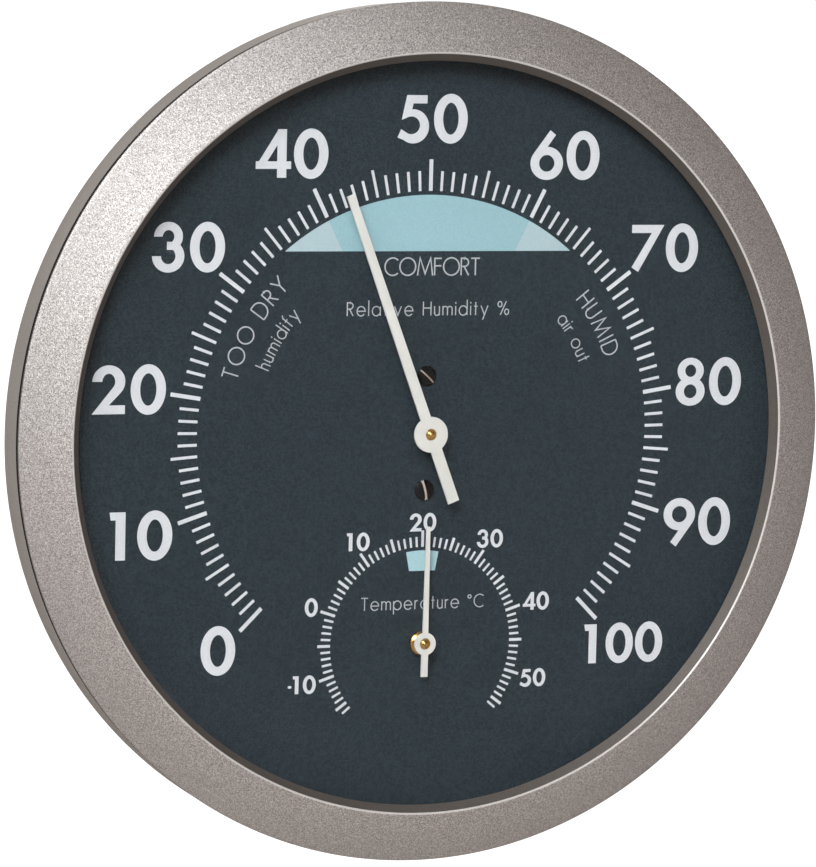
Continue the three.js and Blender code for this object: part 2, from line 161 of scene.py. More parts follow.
def pen(path, width):
    """Quads of a line of even width along a path, with mitred corners and square ends."""
    closed = hypot(path[0][0] - path[-1][0], path[0][1] - path[-1][1]) < 1e-6
    points = [Vector(p) for p in path]
    count = len(points)
    sides = ([], [])
    for i, point in enumerate(points):
        before = points[i] - points[i - 1] if i else None
        after = points[i + 1] - points[i] if i < count - 1 else None
        if closed and before is None:
            before = points[0] - points[-2]
        if closed and after is None:
            after = points[1] - points[-1]
        along = [step.normalized() for step in (before, after) if step is not None]
        tangent = sum(along, Vector((0, 0))).normalized()
        normal = Vector((-tangent.y, tangent.x))
        mitre = 1 / max(0.35, tangent.dot(along[0]))
        sides[0].append(tuple(point + normal * width / 2 * mitre))
        sides[1].append(tuple(point - normal * width / 2 * mitre))
    return band(*sides)


def anticlockwise(shape):
    area = sum(a[0] * b[1] - b[0] * a[1] for a, b in zip(shape, shape[1:] + shape[:1]))
    return shape if area > 0 else shape[::-1]


def united(shapes, holes=()):
    """Overlapping flat shapes as one triangulated area without its holes: (points, triangles)."""
    points, faces = [], []
    for shape in [anticlockwise(list(s)) for s in [*shapes, *holes]]:
        faces.append(list(range(len(points), len(points) + len(shape))))
        points += [Vector(p) for p in shape]
    merged, _, triangles, _, _, sources = delaunay_2d_cdt(points, [], faces, 1, 1e-5)
    kept = [t for t, source in zip(triangles, sources) if source and max(source) < len(shapes)]
    return merged, kept


def moved(shapes, dx=0.0, dz=0.0, scale=1.0, turn=0.0):
    """Shapes scaled, turned clockwise by degrees, then shifted."""
    c, s = cos(radians(turn)), sin(radians(turn))
    return [
        [(dx + scale * (x * c + z * s), dz + scale * (z * c - x * s)) for x, z in shape]
        for shape in shapes
    ]


# ---------------------------------------------------------------- mesh pieces


def closed_mesh(name, points, faces, material, merge=0.0):
    """A mesh in metres from points in millimetres, its faces pointing out, near points merged."""
    mesh = bpy.data.meshes.new(name)
    mesh.from_pydata([DIAL_CENTRE + Vector(p) * MM for p in points], [], faces)
    shape = bmesh.new()
    shape.from_mesh(mesh)
    if merge:
        bmesh.ops.remove_doubles(shape, verts=shape.verts, dist=merge)
    bmesh.ops.recalc_face_normals(shape, faces=shape.faces)
    shape.to_mesh(mesh)
    shape.free()
    mesh.materials.append(material)
    return mesh


def in_scene(name, data):
    """A new object with this data, linked to the scene."""
    thing = bpy.data.objects.new(name, data)
    bpy.context.scene.collection.objects.link(thing)
    return thing


def shade(mesh):
    """Smooth, but for the sharp edges."""
    mesh.shade_smooth()
    mesh.set_sharp_from_angle(angle=radians(SHARP_ANGLE))


def add_piece(name, points, faces, material, body):
    """A mesh piece from points in millimetres, riding on a CAD body."""
    mesh = closed_mesh(name, points, faces, material, merge=1e-7)
    shade(mesh)
    piece = in_scene(name, mesh)
    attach(piece, body)
    return piece


def raised(name, areas, low, high, material, body):
    """Flat areas as closed plates between two y values."""
    points, faces = [], []
    for flat, triangles in areas:
        start, count = len(points), len(flat)
        points += [(x, low, z) for x, z in flat] + [(x, high, z) for x, z in flat]
        edges = {}
        for a, b, c in triangles:
            faces.append((start + a, start + b, start + c))
            faces.append((start + count + c, start + count + b, start + count + a))
            for i, j in ((a, b), (b, c), (c, a)):
                edges[(i, j)] = True
        for i, j in edges:
            if (j, i) not in edges:
                faces.append((start + j, start + i, start + count + i, start + count + j))
    return add_piece(name, points, faces, material, body)


def rounded(profile, radius, steps=4):
    """A closed profile with each corner replaced by an arc, as far as the corner's sides allow."""
    result = []
    count = len(profile)
    for i in range(count):
        here = Vector(profile[i][:2])
        size = profile[i][2] if len(profile[i]) > 2 else radius
        back = Vector(profile[i - 1][:2]) - here
        ahead = Vector(profile[(i + 1) % count][:2]) - here
        half = back.angle(ahead) / 2
        reach = min(size / tan(half), 0.45 * back.length, 0.45 * ahead.length)
        if size == 0 or reach < 1e-4:
            result.append(tuple(here))
            continue
        bend = reach * tan(half)
        centre = here + (back.normalized() + ahead.normalized()).normalized() * bend / sin(half)
        start = here + back.normalized() * reach - centre
        end = here + ahead.normalized() * reach - centre
        for t in spread(0, 1, steps):
            result.append(tuple(centre + start.slerp(end, t).normalized() * bend))
    return result


def turned(name, profile, material, body, centre=(0.0, 0.0), steps=TURNED_STEPS, radius=0.1):
    """A body of revolution about an axis along y, from a closed profile of (radius, y) points."""
    loop = rounded(profile, radius)
    count = len(loop)
    points, faces = [], []
    for i in range(steps):
        c, s = cos(2 * pi * i / steps), sin(2 * pi * i / steps)
        points += [(centre[0] + r * c, y, centre[1] + r * s) for r, y in loop]
    for i in range(steps):
        here, after = i * count, (i + 1) % steps * count
        for j in range(count):
            k = (j + 1) % count
            if loop[j][0] < 1e-6 and loop[k][0] < 1e-6:
                continue
            faces.append((here + j, here + k, after + k, after + j))
    return add_piece(name, points, faces, material, body)


def plain_box(size, centre, turn=0.0):
    """A cutter's points and faces in millimetres, turned clockwise about y by degrees."""
    sx, sy, sz = (s / 2 for s in size)
    corners = [(x, y, z) for x in (-sx, sx) for y in (-sy, sy) for z in (-sz, sz)]
    c, s = cos(radians(turn)), sin(radians(turn))
    points = [(centre[0] + x * c + z * s, centre[1] + y, centre[2] + z * c - x * s) for x, y, z in corners]
    faces = [(0, 1, 3, 2), (4, 6, 7, 5), (0, 4, 5, 1), (2, 3, 7, 6), (0, 2, 6, 4), (1, 5, 7, 3)]
    return points, faces


def prism(shape, low, high):
    """A cutter with a flat outline, between two y values."""
    count = len(shape)
    points = [(x, low, z) for x, z in shape] + [(x, high, z) for x, z in shape]
    faces = [tuple(range(count)), tuple(range(2 * count - 1, count - 1, -1))]
    faces += [(i, (i + 1) % count, count + (i + 1) % count, count + i) for i in range(count)]
    return points, faces


def apply_modifiers(piece):
    """Replaces the piece's mesh by what its modifiers make of it."""
    depsgraph = bpy.context.evaluated_depsgraph_get()
    mesh = bpy.data.meshes.new_from_object(piece.evaluated_get(depsgraph), depsgraph=depsgraph)
    piece.modifiers.clear()
    old = piece.data
    piece.data = mesh
    mesh.name = old.name
    bpy.data.meshes.remove(old)


def cut(piece, cutters):
    """Cuts (points, faces) shapes out of a piece."""
    points, faces = [], []
    for more_points, more_faces in cutters:
        faces += [tuple(len(points) + i for i in face) for face in more_faces]
        points += more_points
    tool = in_scene("cutter", closed_mesh("cutter", points, faces, piece.data.materials[0]))
    boolean = piece.modifiers.new("cut", "BOOLEAN")
    boolean.operation = "DIFFERENCE"
    boolean.solver = "EXACT"
    boolean.object = tool
    apply_modifiers(piece)
    bpy.data.objects.remove(tool)


def soften_edges(piece, width, angle=40, segments=2):
    """Real rounded edges on a piece, width in millimetres."""
    bevel = piece.modifiers.new("edges", "BEVEL")
    bevel.width = width * MM
    bevel.segments = segments
    bevel.limit_method = "ANGLE"
    bevel.angle_limit = radians(angle)
    bevel.harden_normals = False
    apply_modifiers(piece)
    shade(piece.data)
    weighted = piece.modifiers.new("normals", "WEIGHTED_NORMAL")
    weighted.weight = 100
    weighted.keep_sharp = True
    apply_modifiers(piece)


# ---------------------------------------------------------------- materials


class Nodes:
    """A short way to write one material's nodes."""

    def __init__(self, name):
        self.material = bpy.data.materials.new(name)
        self.material.use_nodes = True
        self.tree = self.material.node_tree
        self.shader = self.tree.nodes["Principled BSDF"]
        self.place = self.add("ShaderNodeTexCoord").outputs["Object"]

    def add(self, kind, inputs=None, **values):
        node = self.tree.nodes.new(kind)
        for key, value in values.items():
            setattr(node, key, value)
        for key, value in (inputs or {}).items():
            self.set(node.inputs[key], value)
        return node

    def set(self, socket, value):
        if isinstance(value, bpy.types.NodeSocket):
            self.tree.links.new(value, socket)
        else:
            socket.default_value = value

    def noise(self, size_mm, detail=2.0, roughness=0.5, place=None):
        """A noise between 0 and 1 whose grains are about size_mm across."""
        scale = 1 / (size_mm * MM)
        node = self.add(
            "ShaderNodeTexNoise",
            {"Scale": scale, "Detail": detail, "Roughness": roughness, "Vector": place or self.place},
        )
        return node.outputs["Fac"]

    def vector(self, operation, first, second=None, output="Vector"):
        """A vector calculation; a number as second is the factor of SCALE."""
        inputs = {0: first}
        if second is not None:
            inputs["Scale" if operation == "SCALE" else 1] = second
        return self.add("ShaderNodeVectorMath", inputs, operation=operation).outputs[output]

    def radius(self):
        """The distance in metres from the dial's axis, square to it."""
        from_axis = self.vector("SUBTRACT", self.place, DIAL_CENTRE)
        flat = self.vector("MULTIPLY", from_axis, (1, 0, 1))
        return self.vector("LENGTH", flat, output="Value")

    def ramp(self, value, low, high, start=0.3, end=0.7):
        """Numbers between low and high as value goes from start to end."""
        node = self.add(
            "ShaderNodeMapRange",
            {"Value": value, "From Min": start, "From Max": end, "To Min": low, "To Max": high},
        )
        return node.outputs["Result"]

    def blend(self, factor, first, second):
        node = self.add("ShaderNodeMix", {"Factor": factor}, data_type="RGBA")
        self.set(node.inputs[6], first)
        self.set(node.inputs[7], second)
        return node.outputs[2]

    def bump(self, height, depth_mm, strength=1.0, normal=None):
        node = self.add("ShaderNodeBump", {"Height": height, "Distance": depth_mm * MM, "Strength": strength})
        if normal is not None:
            self.set(node.inputs["Normal"], normal)
        return node.outputs["Normal"]

    def facets(self, size_mm, tilt):
        """A normal that leans a little another way on every grain, as metal flakes and blasted metal do."""
        grains = self.add("ShaderNodeTexVoronoi", {"Scale": 1 / (size_mm * MM), "Vector": self.place})
        lean = self.vector("SUBTRACT", grains.outputs["Color"], (0.5, 0.5, 0.5))
        surface = self.add("ShaderNodeNewGeometry").outputs["Normal"]
        return self.vector("NORMALIZE", self.vector("ADD", surface, self.vector("SCALE", lean, tilt)))

    def finish(self, **inputs):
        """Sets the shader's inputs and gives the material."""
        names = {
            "colour": "Base Color", "roughness": "Roughness", "metallic": "Metallic", "normal": "Normal",
            "specular": "Specular IOR Level", "specular_tint": "Specular Tint",
            "transmission": "Transmission Weight", "ior": "IOR",
        }
        for key, value in inputs.items():
            self.set(self.shader.inputs[names[key]], value)
        return self.material


def colour(red, green, blue):
    """A linear colour from 0-255 values as seen on a screen."""

    def channel(value):
        value /= 255
        return value / 12.92 if value <= 0.04045 else ((value + 0.055) / 1.055) ** 2.4

    return (channel(red), channel(green), channel(blue), 1)


def ring_metal():
    """Fine blasted metal, sparkling, with painted shade that darkens it a little towards the rim."""
    n = Nodes("ring_metal")
    grain = n.noise(0.17, 1.5)
    cloud = n.noise(9, 3)
    tone = n.blend(n.ramp(grain, 0, 1, 0.35, 0.65), colour(166, 161, 158), colour(246, 242, 239))
    tone = n.blend(n.ramp(cloud, 0, 0.12), tone, colour(196, 192, 189))
    # Painted shade: the colour darkens from the ridge out to the rim, where a slightly rounded face would
    # turn from the light.
    inside, outside = (RIDGE_RADIUS + 0.2) * MM, (CASE_RADIUS + EDGE_CLEARANCE) * MM
    tone = n.blend(n.ramp(n.radius(), 0, 0.35, inside, outside), tone, colour(172, 167, 164))
    normal = n.bump(grain, 0.004, 0.5, n.facets(0.15, 0.17))
    return n.finish(colour=tone, metallic=1.0, roughness=n.ramp(grain, 0.5, 0.57), normal=normal)


def lip_painted_shade():
    """The steep inner wall of the ring, painted darker than its face as painted shade."""
    n = Nodes("lip_painted_shade")
    grain = n.noise(0.2, 2)
    tone = n.blend(n.ramp(grain, 0, 1), colour(98, 92, 87), colour(116, 109, 103))
    return n.finish(
        colour=tone, metallic=0.5, roughness=n.ramp(grain, 0.5, 0.6), normal=n.bump(grain, 0.004, 0.5)
    )


def ridge_painted_highlight():
    """The turned edge between the ring's face and its inner wall, painted bright as a painted highlight where
    it catches the light.
    """
    n = Nodes("ridge_painted_highlight")
    grain = n.noise(0.12, 2)
    tone = n.blend(n.ramp(grain, 0, 1), colour(228, 223, 218), colour(238, 233, 228))
    return n.finish(
        colour=tone, metallic=0.2, roughness=n.ramp(grain, 0.26, 0.34), normal=n.bump(grain, 0.001)
    )


def band_metal():
    n = Nodes("band_metal")
    grain = n.noise(0.35, 3)
    cloud = n.noise(14, 2)
    tone = n.blend(n.ramp(cloud, 0, 1), colour(200, 193, 186), colour(210, 203, 196))
    tone = n.blend(n.ramp(grain, 0, 0.35), tone, colour(170, 162, 155))
    return n.finish(
        colour=tone, metallic=0.3, roughness=n.ramp(grain, 0.5, 0.6), normal=n.bump(grain, 0.004, 0.5)
    )


def joint_painted_shadow():
    """Near-black painted shadow on the metal faces in the joint between ring and band and under the ring's
    lip.
    """
    n = Nodes("joint_painted_shadow")
    grain = n.noise(0.3, 3)
    tone = n.blend(n.ramp(grain, 0, 1), colour(26, 25, 24), colour(42, 40, 39))
    return n.finish(
        colour=tone, roughness=n.ramp(grain, 0.7, 0.85), normal=n.bump(grain, 0.006), specular=0.2
    )


def cover_plastic():
    n = Nodes("cover_plastic")
    grain = n.noise(0.55, 4, 0.6)
    cloud = n.noise(22, 2)
    tone = n.blend(n.ramp(cloud, 0, 1), colour(36, 38, 42), colour(44, 46, 50))
    tone = n.blend(n.ramp(grain, 0, 0.3), tone, colour(56, 58, 61))
    return n.finish(
        colour=tone, roughness=n.ramp(grain, 0.52, 0.68), normal=n.bump(grain, 0.035, 0.8), specular=0.45
    )


def spacer_plastic():
    n = Nodes("spacer_plastic")
    grain = n.noise(0.3, 3)
    tone = n.blend(n.ramp(grain, 0, 1), colour(26, 28, 31), colour(36, 38, 41))
    return n.finish(colour=tone, roughness=n.ramp(grain, 0.6, 0.75), normal=n.bump(grain, 0.006))


def clear_pane():
    """Clear pane with weak reflections. Light from the lamps goes straight through, to the dial behind it."""
    n = Nodes("clear_pane")
    smear = n.noise(18, 4, 0.6)
    tint = n.blend(smear, colour(250, 252, 252), colour(255, 255, 255))
    n.finish(
        colour=tint,
        transmission=1.0,
        roughness=n.ramp(smear, 0.0, 0.015),
        ior=1.45,
        specular_tint=(0.15, 0.15, 0.15, 1),
    )
    through = n.add("ShaderNodeBsdfTransparent")
    path = n.add("ShaderNodeLightPath")
    mix = n.add("ShaderNodeMixShader", {0: path.outputs["Is Shadow Ray"]})
    n.tree.links.new(n.shader.outputs["BSDF"], mix.inputs[1])
    n.tree.links.new(through.outputs["BSDF"], mix.inputs[2])
    n.tree.links.new(mix.outputs["Shader"], n.tree.nodes["Material Output"].inputs["Surface"])
    return n.material


def dial_paint():
    n = Nodes("dial_paint")
    grain = n.noise(0.3, 1)
    cloud = n.noise(30, 2)
    tone = n.blend(n.ramp(cloud, 0, 1), colour(28, 39, 43), colour(30, 39, 47))
    tone = n.blend(n.ramp(grain, 0, 1, 0.4, 0.6), tone, colour(44, 56, 62))
    return n.finish(
        colour=tone, roughness=n.ramp(grain, 0.52, 0.6), normal=n.bump(cloud, 0.002, 0.2), specular=0.25
    )


def print_ink(name, darker, lighter):
    n = Nodes(name)
    grain = n.noise(0.18, 2)
    tone = n.blend(n.ramp(grain, 0, 1), darker, lighter)
    return n.finish(
        colour=tone, roughness=n.ramp(grain, 0.5, 0.62), normal=n.bump(grain, 0.003, 0.5), specular=0.3
    )


def pointer_paint():
    n = Nodes("pointer_paint")
    grain = n.noise(0.2, 3)
    cloud = n.noise(4, 2)
    tone = n.blend(n.ramp(cloud, 0, 1), colour(212, 210, 203), colour(220, 217, 211))
    tone = n.blend(n.ramp(grain, 0, 0.3), tone, colour(198, 194, 188))
    return n.finish(colour=tone, roughness=n.ramp(grain, 0.38, 0.5), normal=n.bump(grain, 0.004, 0.6))


def metal(name, dark, light, roughness, grain_mm, stretch=(1, 1, 1)):
    """Plain machined or rolled metal, with fine marks that can be drawn out along an axis."""
    n = Nodes(name)
    place = n.vector("MULTIPLY", n.place, stretch)
    marks = n.noise(grain_mm, 4, 0.6, place)
    stain = n.noise(2.5, 3)
    tone = n.blend(n.ramp(marks, 0, 1), dark, light)
    tone = n.blend(n.ramp(stain, 0, 0.25), tone, dark)
    return n.finish(
        colour=tone, metallic=1.0, roughness=n.ramp(marks, *roughness), normal=n.bump(marks, 0.004, 0.6)
    )


def black_screw():
    """Glossy black oxide."""
    n = Nodes("black_screw")
    marks = n.noise(0.3, 3)
    tone = n.blend(n.ramp(marks, 0, 1), colour(3, 3, 3), colour(10, 9, 9))
    return n.finish(
        colour=tone, roughness=n.ramp(marks, 0.07, 0.12), normal=n.bump(marks, 0.004, 0.4), specular=0.35
    )


def slot_painted_highlight():
    """A painted highlight: bright paint in a screw slot, where the slot's walls catch the light."""
    n = Nodes("slot_painted_highlight")
    marks = n.noise(0.15, 3)
    tone = n.blend(n.ramp(marks, 0, 1), colour(176, 162, 150), colour(226, 212, 198))
    return n.finish(
        colour=tone, metallic=0.3, roughness=n.ramp(marks, 0.3, 0.5), normal=n.bump(marks, 0.004, 0.5)
    )


def sensor_strip():
    n = Nodes("sensor_strip")
    weave = n.noise(0.25, 3)
    tone = n.blend(n.ramp(weave, 0, 1), colour(176, 150, 96), colour(204, 180, 126))
    return n.finish(colour=tone, roughness=n.ramp(weave, 0.4, 0.6), normal=n.bump(weave, 0.01))


RING = ring_metal()
RIDGE_HIGHLIGHT = ridge_painted_highlight()
LIP_SHADE = lip_painted_shade()
BAND = band_metal()
JOINT_SHADOW = joint_painted_shadow()
COVER = cover_plastic()
SPACER = spacer_plastic()
PANE = clear_pane()
DIAL = dial_paint()
INK = print_ink("print_white", colour(203, 204, 207), colour(216, 217, 220))
THIN_INK = print_ink("print_thin", colour(172, 174, 176), colour(188, 190, 192))
COMFORT_INK = print_ink("print_blue", colour(141, 177, 185), colour(154, 188, 194))
PATCH_INK = print_ink("print_patch", colour(156, 191, 198), colour(170, 203, 207))
PALE_INK = print_ink("print_pale_blue", colour(164, 186, 191), colour(177, 196, 200))
POINTER = pointer_paint()
BRASS = metal("brass", colour(196, 146, 78), colour(232, 190, 118), (0.16, 0.3), 0.5, (1, 6, 1))
STEEL = metal("steel", colour(168, 169, 171), colour(204, 205, 206), (0.24, 0.38), 0.4, (1, 5, 1))
SCREW_STEEL = metal("screw_steel", colour(160, 161, 164), colour(204, 205, 208), (0.22, 0.4), 0.3)
BLACK_SCREW = black_screw()
SLOT_HIGHLIGHT = slot_painted_highlight()
BIMETAL = metal("bimetal", colour(150, 138, 118), colour(196, 182, 158), (0.26, 0.4), 0.3, (1, 0.2, 1))
SENSOR = sensor_strip()

# ---------------------------------------------------------------- case


def face_ring():
    """Pressed ring: rolled outer edge, sloping face, ridge, lip, and the skirt that goes inside the band."""
    slope = (RIDGE_Y - RING_EDGE_Y) / (CASE_RADIUS - RIDGE_RADIUS)
    face = [(r, RING_EDGE_Y + slope * (CASE_RADIUS - r), 0) for r in (65.4, 63.0, 60.0, 58.7)]
    flank_x, flank_y = LIP_RADIUS - RIDGE_RADIUS, LIP_Y - RIDGE_Y
    flank = [(RIDGE_RADIUS + flank_x * t, RIDGE_Y + flank_y * t, 0) for t in (0.14, 0.9)]
    profile = [
        (CASE_RADIUS, RING_EDGE_Y + RING_EDGE_HEIGHT, 0.12),
        (CASE_RADIUS, RING_EDGE_Y, 0.14),
        *face,
        (RIDGE_RADIUS, RIDGE_Y, 0.18),
        *flank,
        (LIP_RADIUS, LIP_Y, 0.08),
        (LIP_RADIUS + 0.9, LIP_Y),
        (LIP_RADIUS + 1.6, LIP_Y - 0.45),
        (SKIRT_INNER, -2.75),
        (SKIRT_INNER, 0.5),
        (SKIRT_OUTER, 0.5),
        (SKIRT_OUTER, RING_EDGE_Y + RING_EDGE_HEIGHT, 0.05),
    ]
    piece = turned("ring_face", profile, RING, "case", radius=0.05)
    # Painted light on the ring: a painted highlight on the ridge, painted shade on the steep inner wall, and
    # a near-black painted shadow on the skirt, behind the rolled edge and under the lip.
    for material in (RIDGE_HIGHLIGHT, JOINT_SHADOW, LIP_SHADE):
        piece.data.materials.append(material)
    ridge, joint, lip = 1, 2, 3
    for face in piece.data.polygons:
        centre = in_mm(face.center)
        radius = hypot(centre.x, centre.z)
        # Painted shadow: the lip's underside and the skirt's inside are near-black, for the shade under the
        # lip.
        shaded_underside = centre.y > LIP_Y - 0.02 and radius < SKIRT_INNER + 0.1
        if abs(radius - RIDGE_RADIUS) < 0.15 and centre.y < RIDGE_Y + 0.3:
            face.material_index = ridge
        elif centre.y > RING_EDGE_Y + RING_EDGE_HEIGHT - 0.02 or shaded_underside:
            face.material_index = joint
        elif radius < RIDGE_RADIUS:
            face.material_index = lip
    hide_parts("face_ring")


def case_band():
    """Rolled side band with an inner shelf that carries the dial."""
    shelf_inner, shelf_front, shelf_back = 57.2, 0.9, 2.1
    profile = [
        (BAND_RADIUS, BAND_FRONT, 0.15),
        (BAND_RADIUS, JOINT_SHADOW_DEPTH),
        (BAND_RADIUS - 0.1, BAND_BACK, 0.2),
        (BAND_INNER, BAND_BACK),
        (BAND_INNER, shelf_back),
        (shelf_inner, shelf_back),
        (shelf_inner, shelf_front),
        (BAND_INNER, shelf_front),
        (BAND_INNER, BAND_FRONT),
    ]
    piece = turned("side_band", profile, BAND, "case", radius=0.05)
    # Painted shadow: the band's front, back to the joint's depth, gets the near-black joint material.
    piece.data.materials.append(JOINT_SHADOW)
    for face in piece.data.polygons:
        if in_mm(face.center).y < JOINT_SHADOW_DEPTH:
            face.material_index = 1
    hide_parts("case_band")


def on_circle(count, first_angle, radius):
    """(x, z, clockwise angle) of evenly spaced places."""
    angles = [first_angle + 360 * i / count for i in range(count)]
    return [(*polar(radius, angle), angle) for angle in angles]


def slot_outline(inner, outer, width, angle):
    """A radial slot with round ends."""
    half = width / 2
    outline = arc(0, outer - half, half, half, 0, 180, 10) + arc(0, inner + half, half, half, 180, 360, 10)
    return moved([outline], turn=angle)[0]


def keyhole_outline():
    """Nail slot with a round top at the origin of the row frame, and its wide entry below."""
    slot, entry, drop = 2.4, 5.0, 9.0
    top = in_mm((0, 0, 0)).z
    half = 90 - 180 / pi * atan2(slot, (entry**2 - slot**2) ** 0.5)
    return arc(0, top, slot, slot, 0, 180, 16) + arc(0, top - drop, entry, entry, 180 - half, 360 + half, 40)


def rear_cover():
    """Moulded back: flange, drafted wall with air slots, and a back field inside a raised wall rim."""
    low, high = box_mm("rear_cover")
    wall_y = high.y - EDGE_CLEARANCE
    flange_y, field_y, inside_y = low.y, 19.8, 18.0
    through = (17, 21)
    profile = [
        (0, field_y, 0),
        (48.7, field_y, 0.5),
        (49.3, wall_y, 0.25),
        (54.3, wall_y, 0.25),
        (56.5, 19.9, 0.8),
        (57.6, 18.0, 1.2),
        (58.6, BAND_BACK, 0.3),
        (SKIRT_OUTER, BAND_BACK, 0.25),
        (SKIRT_OUTER, flange_y, 0.2),
        (56.8, flange_y, 0.2),
        (55.8, inside_y - 0.8, 0.4),
        (54.9, inside_y, 0.4),
        (0, inside_y, 0),
    ]
    piece = turned("rear_cover_moulding", profile, COVER, "case", steps=180)
    air_slots = [prism(slot_outline(14, 26, 2.2, angle), *through) for _, _, angle in on_circle(20, 9, 1)]
    side_slots = [plain_box((6, 4.5, 6), (x, 10.25, z), angle) for x, z, angle in on_circle(18, 10, 58.6)]
    screw_holes = [prism(arc(x, z, 1.1, 1.1, 0, 345, 23), 3, 6) for x, z in map(middle_of, COVER_SCREWS)]
    adjuster_hole = prism(arc(0, 0, 3.5, 3.5, 0, 354, 59), *through)
    keyhole = prism(keyhole_outline(), *through)
    cut(piece, [*air_slots, *side_slots, *screw_holes, adjuster_hole, keyhole])
    soften_edges(piece, 0.18, angle=50)
    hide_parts("rear_cover")


def cover_screw(node):
    """Pan-head screw with a cross recess, its head on the cover's flange."""
    x, z = middle_of(node)
    low, high = box_mm(node)
    seat, top = BAND_BACK + 0.05, high.y
    profile = [
        (0, top, 0), (1.0, top - 0.02, 0.3), (2.0, top - 0.55, 0.35), (2.0, seat, 0.08),
        (0.85, seat, 0.05), (0.85, low.y + 0.4, 0.1), (0.3, low.y, 0.1), (0, low.y, 0),
    ]
    name = node.replace("cover_screw", "back_screw")
    piece = turned(name, profile, SCREW_STEEL, "case", (x, z), SMALL_STEPS)
    turn = 25 * int(node[-1])
    recess, recess_width = 2.5, 0.55
    cut(piece, [plain_box((recess_width, 1.5, recess), (x, top, z), turn)])
    cut(piece, [plain_box((recess, 1.44, recess_width), (x, top, z), turn)])
    soften_edges(piece, 0.05, angle=50)
    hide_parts(node)


# ---------------------------------------------------------------- pane, dial and its screws


def pane():
    """Flat pane with ground edges, held between the ring's lip and the spacer."""
    low, high = box_mm("crystal")
    radius = 59.55
    profile = [(0, low.y, 0), (radius, low.y, 0.15), (radius, high.y, 0.15), (0, high.y, 0)]
    piece = turned("pane_disc", profile, PANE, "case")
    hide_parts("crystal")


def dial_screw(node, slot_angle, slot_width):
    """Cheese-head screw with a low dome and a slot painted bright as a painted highlight."""
    x, z = middle_of(node)
    low, high = box_mm(node)
    profile = [
        (0, low.y, 0), (0.75, low.y + 0.05, 0.5), (1.6, low.y + 0.47, 0.16), (1.6, -0.05, 0.03),
        (0.8, -0.05, 0), (0.8, high.y, 0.1), (0, high.y, 0),
    ]
    piece = turned(f"{node}_head", profile, BLACK_SCREW, "case", (x, z), SMALL_STEPS)
    slot_depth = 0.38
    cut(piece, [plain_box((4, 2 * slot_depth, slot_width), (x, low.y, z), slot_angle)])
    soften_edges(piece, 0.03, angle=50)
    # Painted highlight: the slot's faces get the bright slot material.
    piece.data.materials.append(SLOT_HIGHLIGHT)
    across = Vector((sin(radians(slot_angle)), cos(radians(slot_angle))))
    for face in piece.data.polygons:
        centre = in_mm(face.center) - Vector((x, 0, z))
        beside = abs(centre.x * across.x + centre.z * across.y)
        if beside < slot_width / 2 + 0.01 and centre.y < low.y + slot_depth + 0.02:
            face.material_index = 1
    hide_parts(node)


# ---------------------------------------------------------------- pointers and hubs


def pointer(name, node, body, centre, blade, tail, widths, disc, hole, turn):
    """A flat stamped pointer: tapering blade, disc with a hole, straight tail, broken edges."""
    low, high = box_mm(node)
    root, tip, tail_width = widths
    shapes = [
        [(-root / 2, 0), (root / 2, 0), (tip / 2, blade), (-tip / 2, blade)],
        rectangle(-tail_width / 2, -tail, tail_width / 2, 0),
        arc(0, 0, disc, disc, 0, 354, 59),
    ]
    opening = arc(0, 0, hole, hole, 0, 350, 35)
    points, triangles = united(moved(shapes, *centre, turn=turn), moved([opening], *centre, turn=turn))
    piece = raised(name, [(points, triangles)], low.y, high.y, POINTER, body)
    soften_edges(piece, 0.07, angle=50, segments=1)
    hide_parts(node)


def boss(node, body, centre, pin, shoulder, shoulder_y):
    """Brass boss with a domed, centre-marked pin through the pointer's disc."""
    low, high = box_mm(node)
    top, back = low.y, high.y
    spindle = 0.54
    profile = [
        (0, top, 0),
        (pin * 0.3, top + 0.05, 0.25),
        (pin * 0.58, top + 0.24, 0.15),
        (pin * 0.7, top + 0.3, 0.05),
        (pin, top + 0.34, 0.08),
        (pin, shoulder_y, 0.03),
        (shoulder, shoulder_y, 0.06),
        (shoulder, back, 0.05),
        (spindle, back, 0.02),
        (spindle, top + 0.5, 0.02),
        (0, top + 0.5, 0),
    ]
    piece = turned(f"{node}_pin", profile, BRASS, body, centre, SMALL_STEPS)
    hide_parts(node)


def thermometer_bush():
    """Flanged brass bush round the thermometer's spindle."""
    low, high = box_mm("temperature_bush")
    profile = [
        (0.59, low.y, 0.04), (1.42, low.y, 0.1), (1.85, -0.52, 0.12), (1.85, -0.05, 0.04),
        (1.5, -0.05, 0), (1.5, high.y, 0.1), (0.59, high.y, 0.04),
    ]
    piece = turned("temperature_bush_flange", profile, BRASS, "case", THERMOMETER, SMALL_STEPS)
    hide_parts("temperature_bush")


# ---------------------------------------------------------------- print on the dial


